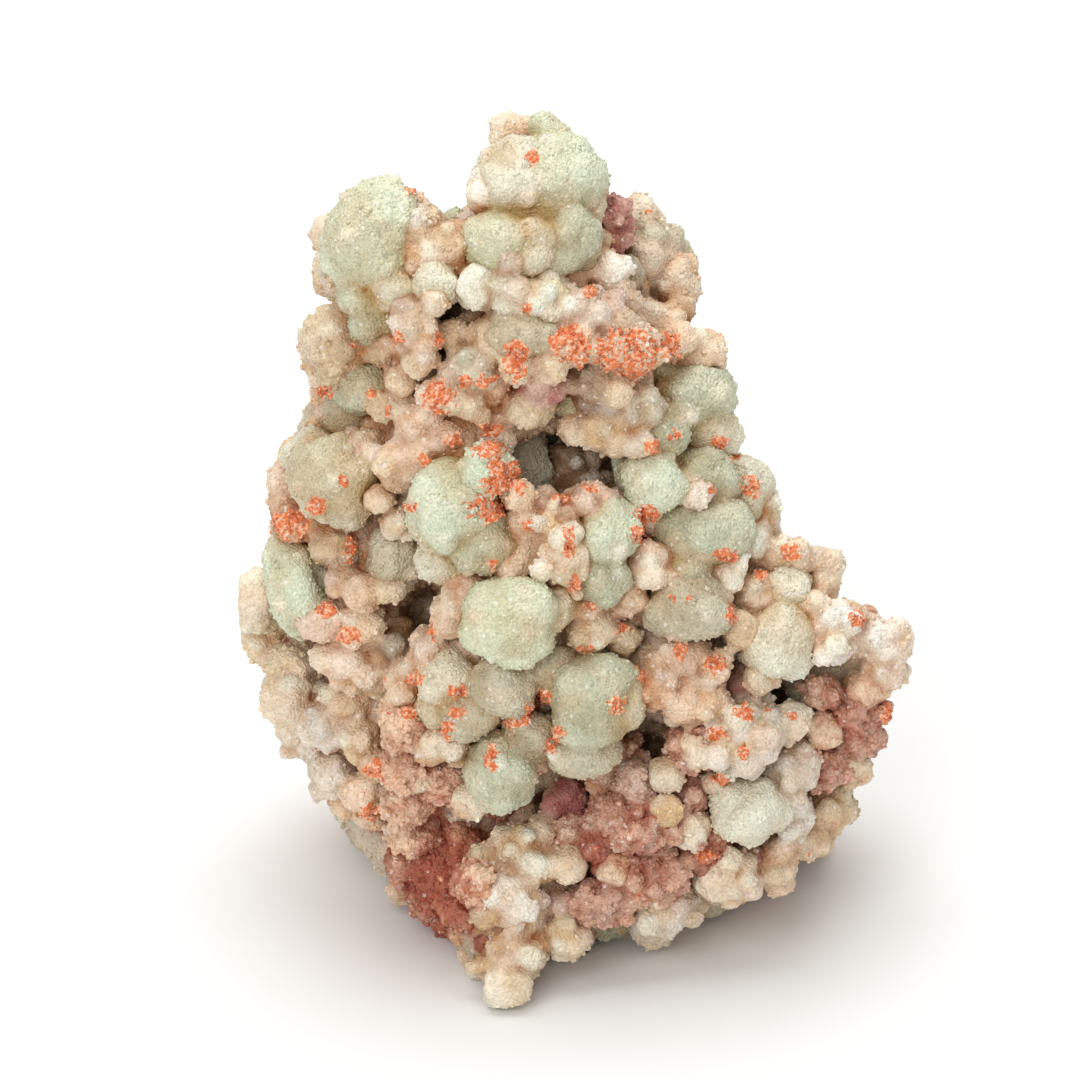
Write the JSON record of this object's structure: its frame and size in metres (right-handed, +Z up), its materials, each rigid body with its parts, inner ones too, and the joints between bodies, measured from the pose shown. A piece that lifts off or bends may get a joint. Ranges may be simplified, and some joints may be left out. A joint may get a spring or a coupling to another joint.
{
  "type": "mineral cluster",
  "caption": "Tall leaning cluster of pale green nodules, cream blunt crystals and pink clay globules, with a deep hollow in its front, standing on a flat worn base.",
  "frame": {"origin": "middle of the bounding box's bottom face, on the plane of the flat base", "axes": "+Z up, +X to the right when the leaning front is faced, and -Y out of the front, towards the small foot"},
  "size_m": [0.0671, 0.0521, 0.0856],
  "materials": {
    "boracite": "matte"
  },
  "bodies": {
    "root": {"boracite_cluster": "boracite"}
  },
  "joints": []
}
